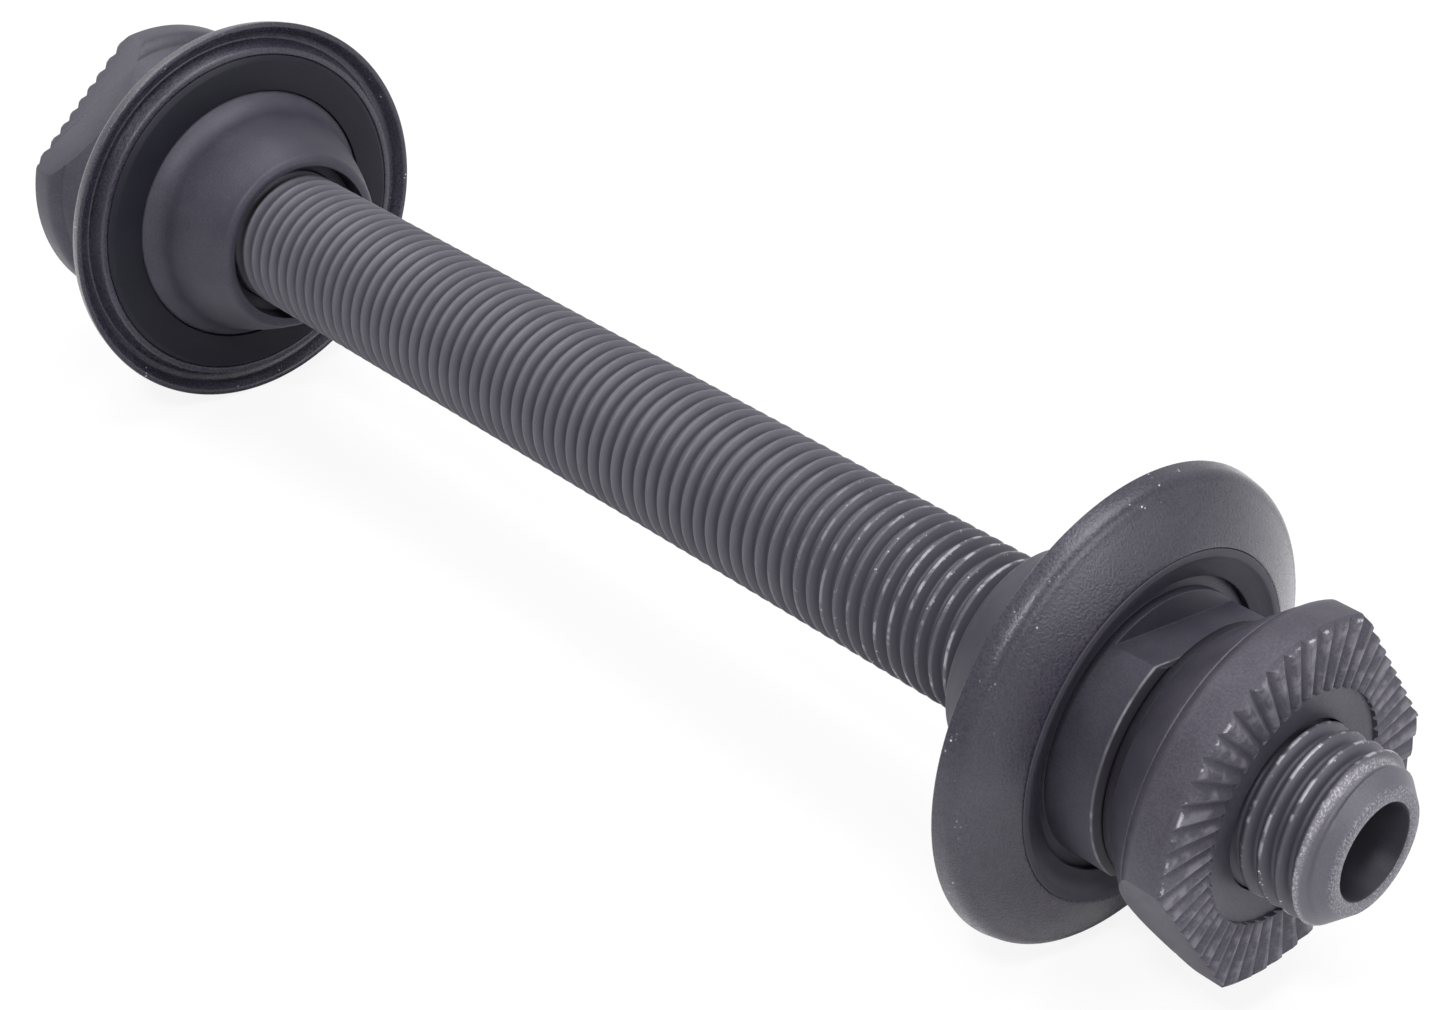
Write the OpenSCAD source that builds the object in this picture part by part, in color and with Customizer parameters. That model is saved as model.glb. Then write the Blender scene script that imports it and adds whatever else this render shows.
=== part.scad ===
// Front hub axle set of a quick-release bicycle wheel.
// A hollow threaded axle carries, at each end, a bearing cone with its dust seal,
// a washer and a toothed lock nut. Lengths are in millimetres.
// X runs along the axle and X = 0 is its middle. Each end is drawn at +X, and the
// far end is the same set of parts turned half a turn about Z.

/* [Axle] */

// Reach of each tip past the toothed face of its lock nut
tip_reach = 4.55; // [3.5:0.05:8]

// Diameter over the thread crests
axle_d = 9; // [8:0.5:9.5]

// Diameter of the through bore that the skewer passes
bore_d = 5.1; // [4.8:0.1:5.4]

// Wall of the flat ring left on each tip, round the bore
tip_wall = 0.75; // [0.5:0.05:1.1]

// Length of the chamfer at each tip
tip_chamfer = 1.25; // [0.6:0.05:2]

/* [Lock nuts] */

// Distance between the toothed faces of the two lock nuts
over_locknuts = 98.9; // [94:0.1:101]

// Thickness of a lock nut
nut_h = 5.4; // [5:0.1:7]

// Diameter of the toothed flange
nut_d = 19.8; // [18.5:0.1:22]

// Distance across the two spanner flats
nut_flats = 16.5; // [15.6:0.1:18]

// Diameter of the nut's narrow end
nut_back_d = 14.2; // [13:0.1:15]

// Length of the flange before the taper starts
nut_flange_h = 2.1; // [1.6:0.1:3]

// Number of teeth on the face
tooth_count = 50; // [40:1:56]

// Length of a tooth, from the rim inwards
tooth_length = 3.7; // [3:0.1:4]

// Depth of a tooth at the inner end of its groove
tooth_depth_in = 0.3; // [0.2:0.02:0.34]

// Depth of a tooth at the rim
tooth_depth_out = 0.52; // [0.36:0.02:0.6]

// Angle between a tooth and the radius, in degrees
tooth_slant = 6; // [0:1:24]

// Turn of the near nut's flats about X, in degrees from Y
near_nut_turn = 34.4; // [0:0.1:180]

// Turn of the far nut's flats about X, in degrees from Y
far_nut_turn = 131.8; // [0:0.1:180]

/* [Washers] */

// Thickness of a washer
washer_h = 0.55; // [0.4:0.05:1.2]

// Width of a washer's ring
washer_w = 2.45; // [1.8:0.05:2.8]

/* [Cones] */

// Length of a cone
cone_h = 11.4; // [11:0.1:13]

// Diameter of the body that the flats are milled into
cone_body_d = 14.7; // [14:0.1:15.2]

// Distance across the cone's flats
cone_flats = 11.6; // [11:0.1:13.4]

// Length of the flats from the cone's outer end
cone_flats_h = 2.8; // [2.2:0.1:3]

// Distance from the cone's outer end to its bearing flange
cone_body_h = 3.35; // [3.2:0.05:4.2]

// Width of the bearing flange
flange_h = 2.2; // [1.8:0.1:2.6]

// Step from the lip's hole out to the bearing flange
flange_step = 0.6; // [0.4:0.05:0.9]

// Radius of the ball race
race_r = 2.5; // [2:0.1:3.5]

// Width of the ball race along the axle
race_h = 1.8; // [1.4:0.1:2.2]

// Height of the crest between race and nose, over the body
nose_crest = 0.17; // [0:0.01:0.3]

// Radius of the nose's crowned side
nose_side_r = 16; // [12:1:30]

// Wall of the nose at its front
nose_wall = 0.55; // [0.5:0.05:1]

// Gap between the thread and the counterbore in the nose
nose_gap = 0.75; // [0.5:0.05:0.9]

// Depth of the counterbore in the nose
nose_bore_h = 1.6; // [0.8:0.1:2.5]

// Turn of the cone's flats about X, in degrees from Y
cone_turn = 81; // [0:1:180]

/* [Dust seals] */

// Width of the cover's brim outside its hem
brim_w = 1.35; // [1.1:0.05:2.2]

// Wall of the cover at its rim
seal_wall = 0.6; // [0.5:0.05:0.8]

// Height of the cover from its rim to its outer edge
seal_h = 2.7; // [2.5:0.1:3]

// Radius of the cover's rounded shoulder
seal_shoulder_r = 0.9; // [0.7:0.05:1.2]

// Radius of the cover's crowned face
crown_r = 22; // [16:1:40]

// Wall of the hem under the cover
hem_w = 0.8; // [0.6:0.05:1.1]

// Wall of the lip ring round the bearing flange
ring_w = 2.35; // [2:0.05:2.8]

// Gap between the cone body and the lip's hole
lip_gap = 0.65; // [0.4:0.05:0.8]

// Width of the lip's face, from its hole to the step at the cover
lip_w = 1.6; // [1.2:0.05:1.9]

// Thickness of the lip at its hole
lip_h = 0.35; // [0.25:0.05:0.5]

// Thickness of the lip ring's outer collar above the lip
collar_h = 0.4; // [0.3:0.05:0.5]

/* [Clearances] */

// Radial running clearance in bores that turn
running = 0.05; // [0.03:0.01:0.08]

// Gap between faces that slide apart
face_gap = 0.02; // [0.01:0.01:0.05]

/* [Hidden] */

$fn = 96;
eps = 0.01;
black_steel = [0.20, 0.19, 0.21];
black_nut = [0.27, 0.26, 0.28];
bright_steel = [0.42, 0.41, 0.44];
black_cover = [0.14, 0.13, 0.15];
black_lip = [0.24, 0.24, 0.26];

// Stack of one end, from the toothed face inwards
x_nut_face = over_locknuts / 2;
x_tip = x_nut_face + tip_reach;
x_nut_back = x_nut_face - nut_h;
x_washer = x_nut_back - face_gap;
x_cone = x_washer - washer_h - face_gap;
x_nose = x_cone - cone_h;
x_flange = x_cone - cone_body_h;
x_race = x_flange - flange_h;
x_crest = x_race - race_h;

// The lip rests on the cone's flange with a running gap
x_lip = x_flange + running;
x_lip_out = x_lip + lip_h;
x_step = x_lip_out + collar_h;
x_rim = x_step - seal_h;
x_ring_in = x_race - running * 3;
x_seat = x_step - seal_h / 2;

// Radii that follow from the axle outwards
clear_r = axle_d / 2 + running;
nut_r = nut_d / 2;
teeth_r = nut_r - tooth_length;
washer_r = clear_r + washer_w;
nose_bore_r = axle_d / 2 + nose_gap;
nose_front_r = nose_bore_r + nose_wall;

// Radii that follow from the cone's body outwards
body_r = cone_body_d / 2;
lip_r = body_r + lip_gap;
step_r = lip_r + lip_w;
flange_r = lip_r + flange_step;
ring_r = flange_r + running + ring_w;
hem_r = ring_r + hem_w;
seal_r = hem_r + brim_w;

// Points of an arc about c, from angle a to angle b in degrees, as [radius, x]
function arc(c, r, a, b, n = 10) =
    [for (i = [0:n]) let (t = a + (b - a) * i / n) [c[0] + r * cos(t), c[1] + r * sin(t)]];

// Centre of an arc of radius r through p and q, on the side given by s
function arc_centre(p, q, r, s) =
    let (d = q - p, l = norm(d), m = (p + q) / 2, h = sqrt(max(r * r - l * l / 4, 0)))
    m + s * h * [-d[1], d[0]] / l;

// Arc of radius r from p to q, on the side given by s
function arc_between(p, q, r, s, n = 10) =
    let (c = arc_centre(p, q, r, s),
         a = atan2(p[1] - c[1], p[0] - c[0]),
         b0 = atan2(q[1] - c[1], q[0] - c[0]),
         b = b0 - a > 180 ? b0 - 360 : (b0 - a < -180 ? b0 + 360 : b0))
    arc(c, r, a, b, n);

// A closed outline of [radius, x] points, turned about the X axis
module turned(outline) {
    rotate([0, 90, 0]) rotate_extrude() polygon(outline);
}

// The far end holds the same parts, turned round
module far_side() {
    rotate([0, 0, 180]) children();
}

// A round hole along X between two places
module hole_x(d, from, to) {
    translate([from, 0, 0]) rotate([0, 90, 0]) cylinder(d = d, h = to - from);
}

// Two parallel flats, cut from the place given to the outer end
module flats(across, from, to, turn, reach) {
    rotate([turn, 0, 0])
        for (side = [-1, 1])
            translate([from, side > 0 ? across / 2 : -across / 2 - reach, -reach])
                cube([to - from, reach, 2 * reach]);
}

module axle() {
    color(bright_steel)
    difference() {
        turned([[0, -x_tip], [bore_d / 2 + tip_wall, -x_tip], [axle_d / 2, -x_tip + tip_chamfer],
                [axle_d / 2, x_tip - tip_chamfer], [bore_d / 2 + tip_wall, x_tip], [0, x_tip]]);
        hole_x(bore_d, -x_tip - 1, x_tip + 1);
    }
}

module cone() {
    crest = [body_r + nose_crest, x_crest];
    edge = [flange_r, x_race];
    front = [nose_front_r, x_nose];
    nose_round = 0.45;
    chamfer = 0.35;
    color(black_steel)
    difference() {
        turned(concat(
            [[clear_r - 1, x_nose], [front[0] - nose_round, x_nose]],
            arc_between([front[0] - nose_round, x_nose], [front[0] + 0.25, x_nose + nose_round], nose_round * 1.3, 1, 5),
            arc_between([front[0] + 0.25, x_nose + nose_round], crest, nose_side_r, 1, 6),
            arc_between(crest, edge, race_r, -1, 8),
            [[flange_r, x_flange], [body_r, x_flange],
             [body_r, x_cone - chamfer], [body_r - chamfer, x_cone],
             [clear_r - 1, x_cone]]));
        hole_x(2 * clear_r, x_nose - 1, x_cone + 1);
        hole_x(2 * nose_bore_r, x_nose - 1, x_nose + nose_bore_h);
        flats(cone_flats, x_cone - cone_flats_h, x_cone + 1, cone_turn, cone_body_d);
    }
}

// Dished cover: a rim, a rounded shoulder and a crowned face that falls outwards
module seal_cover() {
    rim = [seal_r, x_rim];
    top = [step_r + eps, x_step];
    side = [seal_r - 0.15, x_rim + 0.7];
    brow = [seal_r - 0.75, x_rim + 0.7 + seal_shoulder_r * 0.75];
    color(black_cover)
    turned(concat(
        [[seal_r - seal_wall, x_rim], rim, side],
        arc_between(side, brow, seal_shoulder_r, 1, 6),
        arc_between(brow, top, crown_r, 1, 8),
        [[step_r + eps, x_seat], [ring_r + eps, x_seat],
         [ring_r + eps, x_rim - 0.2], [hem_r, x_rim - 0.2],
         [hem_r, x_seat - seal_wall / 2],
         [seal_r - seal_wall - 0.15, x_rim + 0.7]]));
}

// Lip ring: its bore runs on the cone's flange, and its lip hides the flange's edge
module seal_ring() {
    funnel = [lip_r + 0.6, x_lip_out + 0.1];
    inner = [step_r - 0.4, x_step];
    color(black_lip)
    difference() {
        turned(concat(
            [[lip_r - 1, x_ring_in], [ring_r - 0.3, x_ring_in], [ring_r, x_ring_in + 0.3],
             [ring_r, x_seat - eps], [step_r, x_seat - eps], [step_r, x_step]],
            arc_between(inner, funnel, 1.6, -1, 5),
            [[lip_r - 1, x_lip_out]]));
        hole_x(2 * lip_r, x_ring_in - 1, x_step + 1);
        hole_x(2 * (flange_r + running), x_ring_in - 1, x_lip);
    }
}

module washer() {
    edge = 0.12;
    color(bright_steel)
    difference() {
        turned([[clear_r - 1, x_washer - washer_h], [washer_r - edge, x_washer - washer_h],
                [washer_r, x_washer - washer_h + edge], [washer_r, x_washer - edge],
                [washer_r - edge, x_washer], [clear_r - 1, x_washer]]);
        hole_x(2 * clear_r, x_washer - washer_h - 1, x_washer + 1);
    }
}

// One slanted V groove of the toothed face, deeper and wider towards the rim
module tooth_groove() {
    pitch_in = 2 * PI * teeth_r / tooth_count;
    land = 0.08;
    half_w = (pitch_in * cos(tooth_slant) - land) / 2;
    reach = nut_r - teeth_r + 1.5;
    tilt = atan((tooth_depth_out - tooth_depth_in) / (nut_r - teeth_r));
    lift = 0.4;
    grow = half_w / tooth_depth_in;
    translate([x_nut_face - tooth_depth_in, teeth_r, 0])
    rotate([tooth_slant, 0, 0])
    rotate([0, 0, tilt])
    rotate([-90, 0, 0])
    linear_extrude(height = reach)
        polygon([[0, 0], [tooth_depth_in + lift, -(tooth_depth_in + lift) * grow],
                 [tooth_depth_in + lift, (tooth_depth_in + lift) * grow]]);
}

module lock_nut(turn) {
    belly = 1;
    back = [nut_back_d / 2, x_nut_back];
    front_edge = 0.2;
    waist = [nut_r - 0.3, x_nut_face - nut_flange_h - 0.35];
    seam_x = waist[1] - 0.45;
    seam_r = waist[0] - 0.45 * (waist[0] - back[0]) / (waist[1] - back[1]);
    color(black_nut)
    difference() {
        turned(concat(
            [[clear_r - 1, x_nut_back], back],
            [[seam_r - 0.06, seam_x - 0.08], [seam_r - 0.1, seam_x], [seam_r + 0.04, seam_x + 0.06]],
            arc_between(waist, [nut_r, x_nut_face - nut_flange_h + 0.4], belly, 1, 5),
            [[nut_r, x_nut_face - front_edge], [nut_r - front_edge, x_nut_face],
             [clear_r - 1, x_nut_face]]));
        hole_x(2 * clear_r, x_nut_back - 1, x_nut_face + 1);
        hole_x(2 * (teeth_r + eps), x_nut_face - tooth_depth_in + eps, x_nut_face + 1);
        flats(nut_flats, x_nut_back - 1, x_nut_face + 1, turn, nut_d);
        for (i = [0:tooth_count - 1])
            rotate([i * 360 / tooth_count, 0, 0]) tooth_groove();
    }
}

module near_cone() cone();
module near_seal_cover() seal_cover();
module near_seal_ring() seal_ring();
module near_washer() washer();
module near_lock_nut() lock_nut(near_nut_turn);
module far_cone() far_side() cone();
module far_seal_cover() far_side() seal_cover();
module far_seal_ring() far_side() seal_ring();
module far_washer() far_side() washer();
module far_lock_nut() far_side() lock_nut(-far_nut_turn);

axle();
near_cone();
near_seal_cover();
near_seal_ring();
near_washer();
near_lock_nut();
far_cone();
far_seal_cover();
far_seal_ring();
far_washer();
far_lock_nut();
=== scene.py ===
"""Looks of a quick-release front hub axle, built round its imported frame.

The axle gets its screw thread, the lock nuts their pressed teeth with worn corners, and the
cones, washers and dust seals their turned shapes with softened edges. Every finish is procedural.
"""

import logging
import math
from dataclasses import dataclass, field
from enum import Enum
from typing import Sequence

import bpy
import numpy as np
from mathutils import Matrix, Vector

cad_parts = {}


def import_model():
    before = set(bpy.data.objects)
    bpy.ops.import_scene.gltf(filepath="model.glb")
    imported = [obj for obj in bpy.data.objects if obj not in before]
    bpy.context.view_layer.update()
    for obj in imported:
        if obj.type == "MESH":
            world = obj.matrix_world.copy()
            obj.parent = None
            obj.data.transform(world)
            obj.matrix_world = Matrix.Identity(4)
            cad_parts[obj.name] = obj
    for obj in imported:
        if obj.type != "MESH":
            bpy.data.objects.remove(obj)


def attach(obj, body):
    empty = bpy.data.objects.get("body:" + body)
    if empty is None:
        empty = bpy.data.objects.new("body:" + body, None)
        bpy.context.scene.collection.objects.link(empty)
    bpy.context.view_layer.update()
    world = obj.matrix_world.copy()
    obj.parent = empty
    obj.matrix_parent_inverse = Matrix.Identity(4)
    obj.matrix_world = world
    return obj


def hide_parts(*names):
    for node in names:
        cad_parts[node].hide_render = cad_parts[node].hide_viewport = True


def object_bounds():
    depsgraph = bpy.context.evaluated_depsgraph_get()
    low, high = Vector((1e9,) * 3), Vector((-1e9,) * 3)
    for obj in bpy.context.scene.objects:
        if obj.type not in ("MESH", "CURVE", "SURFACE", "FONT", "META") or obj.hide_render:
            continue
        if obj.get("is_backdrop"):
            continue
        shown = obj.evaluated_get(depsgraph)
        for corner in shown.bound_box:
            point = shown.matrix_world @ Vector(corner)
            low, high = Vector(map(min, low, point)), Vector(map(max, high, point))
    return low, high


MM = 0.001
FULL_TURN = 2.0 * math.pi

Point = tuple[float, float]
Rgb = tuple[float, float, float]


class End(Enum):
    """The two ends of the axle. The value is the turn about the upright axis."""

    NEAR = 0.0
    FAR = math.pi

    @property
    def word(self) -> str:
        """The first word of the piece names at this end."""
        return self.name.lower()


class Cut(Enum):
    """What a boolean cutter does to the piece."""

    AWAY = "DIFFERENCE"


# --------------------------------------------------------------------------------------
# Modelling by hand operators


class Bench:
    """The modelling operators that every sub-assembly uses. Sizes are in millimetres."""

    @staticmethod
    def clear() -> None:
        """Leaves edit mode and deselects everything."""
        if bpy.context.object and bpy.context.object.mode != "OBJECT":
            bpy.ops.object.mode_set(mode="OBJECT")
        bpy.ops.object.select_all(action="DESELECT")

    @staticmethod
    def choose(piece: bpy.types.Object) -> None:
        """Selects one piece and makes it active.

        Args:
            piece: The object to work on.
        """
        Bench.clear()
        piece.select_set(True)
        bpy.context.view_layer.objects.active = piece

    @staticmethod
    def draw(name: str, outline: Sequence[Point], closed: bool = True) -> bpy.types.Object:
        """Draws an outline of (x, radius) points in the upright plane through the axle.

        Args:
            name: Name of the new object.
            outline: Places along the axle and radii, in millimetres.
            closed: Whether the last point joins the first.

        Returns:
            An object whose mesh is the outline as edges.
        """
        Bench.clear()
        bpy.ops.mesh.primitive_plane_add(size=MM, location=(0.0, 0.0, 0.0))
        piece = bpy.context.object
        piece.name = name
        piece.data.name = name
        bpy.ops.object.mode_set(mode="EDIT")
        bpy.ops.mesh.select_mode(type="VERT")
        bpy.ops.mesh.select_all(action="SELECT")
        bpy.ops.mesh.merge(type="CENTER")
        bpy.ops.transform.translate(value=(outline[0][0] * MM, 0.0, outline[0][1] * MM))
        for here, there in zip(outline, outline[1:]):
            step = ((there[0] - here[0]) * MM, 0.0, (there[1] - here[1]) * MM)
            bpy.ops.mesh.extrude_vertices_move(TRANSFORM_OT_translate={"value": step})
        if closed:
            last = outline[-1]
            step = ((outline[0][0] - last[0]) * MM, 0.0, (outline[0][1] - last[1]) * MM)
            bpy.ops.mesh.extrude_vertices_move(TRANSFORM_OT_translate={"value": step})
            bpy.ops.mesh.select_all(action="SELECT")
            bpy.ops.mesh.remove_doubles(threshold=MM * 1e-4)
        bpy.ops.object.mode_set(mode="OBJECT")
        return piece

    @staticmethod
    def turn_up(name: str, outline: Sequence[Point], steps: int = 144) -> bpy.types.Object:
        """Spins a closed outline about the axle, as on a lathe.

        Args:
            name: Name of the new object.
            outline: Closed outline of (x, radius) points in millimetres.
            steps: Facets round the axis.

        Returns:
            The closed ring of material.
        """
        piece = Bench.draw(name, outline)
        bpy.ops.object.mode_set(mode="EDIT")
        bpy.ops.mesh.select_all(action="SELECT")
        bpy.ops.mesh.spin(steps=steps, angle=FULL_TURN, center=(0.0, 0.0, 0.0), axis=(1.0, 0.0, 0.0))
        bpy.ops.mesh.select_all(action="SELECT")
        bpy.ops.mesh.remove_doubles(threshold=MM * 1e-3)
        bpy.ops.mesh.normals_make_consistent(inside=False)
        bpy.ops.object.mode_set(mode="OBJECT")
        return piece

    @staticmethod
    def place(piece: bpy.types.Object, matrix: Matrix) -> None:
        """Bakes a placement into a piece's mesh.

        Args:
            piece: The object to move.
            matrix: Its new placement, in metres.
        """
        Bench.choose(piece)
        piece.matrix_world = matrix
        bpy.ops.object.transform_apply(location=True, rotation=True, scale=True)

    @staticmethod
    def copy(piece: bpy.types.Object, name: str) -> bpy.types.Object:
        """Copies a piece with its own mesh.

        Args:
            piece: The object to copy.
            name: Name of the copy.

        Returns:
            The copy, linked to the scene.
        """
        twin = piece.copy()
        twin.data = piece.data.copy()
        twin.name = name
        twin.data.name = name
        bpy.context.scene.collection.objects.link(twin)
        return twin

    @staticmethod
    def join(pieces: Sequence[bpy.types.Object]) -> bpy.types.Object:
        """Joins pieces into the first of them.

        Args:
            pieces: The objects to join.

        Returns:
            The joined object.
        """
        Bench.choose(pieces[0])
        for piece in pieces[1:]:
            piece.select_set(True)
        bpy.ops.object.join()
        return bpy.context.object

    @staticmethod
    def cut(piece: bpy.types.Object, cutter: bpy.types.Object, how: Cut = Cut.AWAY) -> None:
        """Cuts a piece with another and removes the cutter.

        Args:
            piece: The object that is cut.
            cutter: The closed object that cuts it.
            how: The boolean operation.
        """
        Bench.choose(piece)
        tool = piece.modifiers.new("cut", "BOOLEAN")
        tool.operation = how.value
        tool.solver = "EXACT"
        tool.object = cutter
        bpy.ops.object.modifier_apply(modifier=tool.name)
        bpy.data.objects.remove(cutter)

    @staticmethod
    def block(turn: float, centre: Vector, sizes: Vector) -> bpy.types.Object:
        """Adds a cutting block that is turned about the axle.

        Args:
            turn: Turn about X in degrees.
            centre: Its centre before the turn, in millimetres.
            sizes: Its three sizes, in millimetres.

        Returns:
            The block.
        """
        Bench.clear()
        bpy.ops.mesh.primitive_cube_add(size=1.0, location=(0.0, 0.0, 0.0))
        block = bpy.context.object
        spin = Matrix.Rotation(math.radians(turn), 4, "X")
        shift = Matrix.Translation(centre * MM)
        Bench.place(block, spin @ shift @ Matrix.Diagonal((*(sizes * MM), 1.0)))
        return block

    @staticmethod
    def soften(piece: bpy.types.Object, width: float, segments: int = 2, angle: float = 28.0) -> None:
        """Rounds the sharp edges of a piece.

        Args:
            piece: The object to bevel.
            width: Width of the bevel in millimetres.
            segments: Facets across the bevel.
            angle: Edges that turn by more than this, in degrees, are rounded.
        """
        Bench.choose(piece)
        edge = piece.modifiers.new("edges", "BEVEL")
        edge.width = width * MM
        edge.segments = segments
        edge.limit_method = "ANGLE"
        edge.angle_limit = math.radians(angle)
        edge.miter_outer = "MITER_ARC"
        bpy.ops.object.modifier_apply(modifier=edge.name)

    @staticmethod
    def smooth(piece: bpy.types.Object, angle: float = 35.0) -> None:
        """Shades a piece smooth up to an angle.

        Args:
            piece: The object to shade.
            angle: Edges that turn by more than this, in degrees, stay sharp.
        """
        Bench.choose(piece)
        bpy.ops.object.shade_smooth_by_angle(angle=math.radians(angle))


def arc(centre: Point, radius: float, start: float, end: float, steps: int) -> list[Point]:
    """Points of an arc in the outline plane.

    Args:
        centre: Its centre as (x, radius).
        radius: Its radius in millimetres.
        start: First angle in degrees, from +x towards +radius.
        end: Last angle in degrees.
        steps: Number of steps.

    Returns:
        The points from start to end.
    """
    turns = [math.radians(start + (end - start) * i / steps) for i in range(steps + 1)]
    return [(centre[0] + radius * math.cos(t), centre[1] + radius * math.sin(t)) for t in turns]


def bow(a: Point, b: Point, radius: float, side: int, steps: int) -> list[Point]:
    """Points of an arc between two points.

    Args:
        a: First point as (x, radius).
        b: Last point.
        radius: Radius of the arc in millimetres.
        side: 1 or -1, the side of a to b on which the centre lies.
        steps: Number of steps.

    Returns:
        The points from a to b.
    """
    dx, dr = b[0] - a[0], b[1] - a[1]
    length = math.hypot(dx, dr)
    rise = math.sqrt(max(radius * radius - length * length / 4.0, 0.0))
    centre = ((a[0] + b[0]) / 2 - side * rise * dr / length, (a[1] + b[1]) / 2 + side * rise * dx / length)
    start = math.degrees(math.atan2(a[1] - centre[1], a[0] - centre[0]))
    end = math.degrees(math.atan2(b[1] - centre[1], b[0] - centre[0]))
    if end - start > 180.0:
        end -= 360.0
    if end - start < -180.0:
        end += 360.0
    return arc(centre, radius, start, end, steps)


# --------------------------------------------------------------------------------------
# Material maths


class Wire:
    """A value in a material's node tree. Arithmetic on it adds Math nodes."""

    def __init__(self, tree: bpy.types.NodeTree, socket: bpy.types.NodeSocket) -> None:
        """Wraps an output socket.

        Args:
            tree: The material's node tree.
            socket: The output that carries the value.
        """
        self.tree = tree
        self.socket = socket

    def _math(self, operation: str, first: "Wire | float", second: "Wire | float") -> "Wire":
        """Adds one Math node.

        Args:
            operation: The Math node's operation.
            first: Its first operand.
            second: Its second operand.

        Returns:
            The node's result.
        """
        node = self.tree.nodes.new("ShaderNodeMath")
        node.operation = operation
        for index, operand in enumerate((first, second)):
            if isinstance(operand, Wire):
                self.tree.links.new(operand.socket, node.inputs[index])
            else:
                node.inputs[index].default_value = float(operand)
        return Wire(self.tree, node.outputs[0])

    def __add__(self, other: "Wire | float") -> "Wire":
        """Sum."""
        return self._math("ADD", self, other)

    __radd__ = __add__

    def __mul__(self, other: "Wire | float") -> "Wire":
        """Product."""
        return self._math("MULTIPLY", self, other)

    __rmul__ = __mul__

    def __sub__(self, other: "Wire | float") -> "Wire":
        """Difference."""
        return self._math("SUBTRACT", self, other)

    def __rsub__(self, other: "Wire | float") -> "Wire":
        """Difference with the operands reversed."""
        return self._math("SUBTRACT", other, self)

    def __pow__(self, other: "Wire | float") -> "Wire":
        """Power."""
        return self._math("POWER", self, other)

    def both(self, other: "Wire | float") -> "Wire":
        """The smaller of two values."""
        return self._math("MINIMUM", self, other)

    def either(self, other: "Wire | float") -> "Wire":
        """The larger of two values."""
        return self._math("MAXIMUM", self, other)

    def size(self) -> "Wire":
        """The value without its sign."""
        return self._math("ABSOLUTE", self, 0.0)

    def step(self, low: float, high: float) -> "Wire":
        """A smooth step from 0 at low to 1 at high.

        Args:
            low: The value that gives 0.
            high: The value that gives 1. It may be smaller than low.

        Returns:
            The step's result.
        """
        node = self.tree.nodes.new("ShaderNodeMapRange")
        node.interpolation_type = "SMOOTHSTEP"
        self.tree.links.new(self.socket, node.inputs["Value"])
        reverse = high < low
        node.inputs["From Min"].default_value = high if reverse else low
        node.inputs["From Max"].default_value = low if reverse else high
        node.inputs["To Min"].default_value = 1.0 if reverse else 0.0
        node.inputs["To Max"].default_value = 0.0 if reverse else 1.0
        return Wire(self.tree, node.outputs["Result"])


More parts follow.
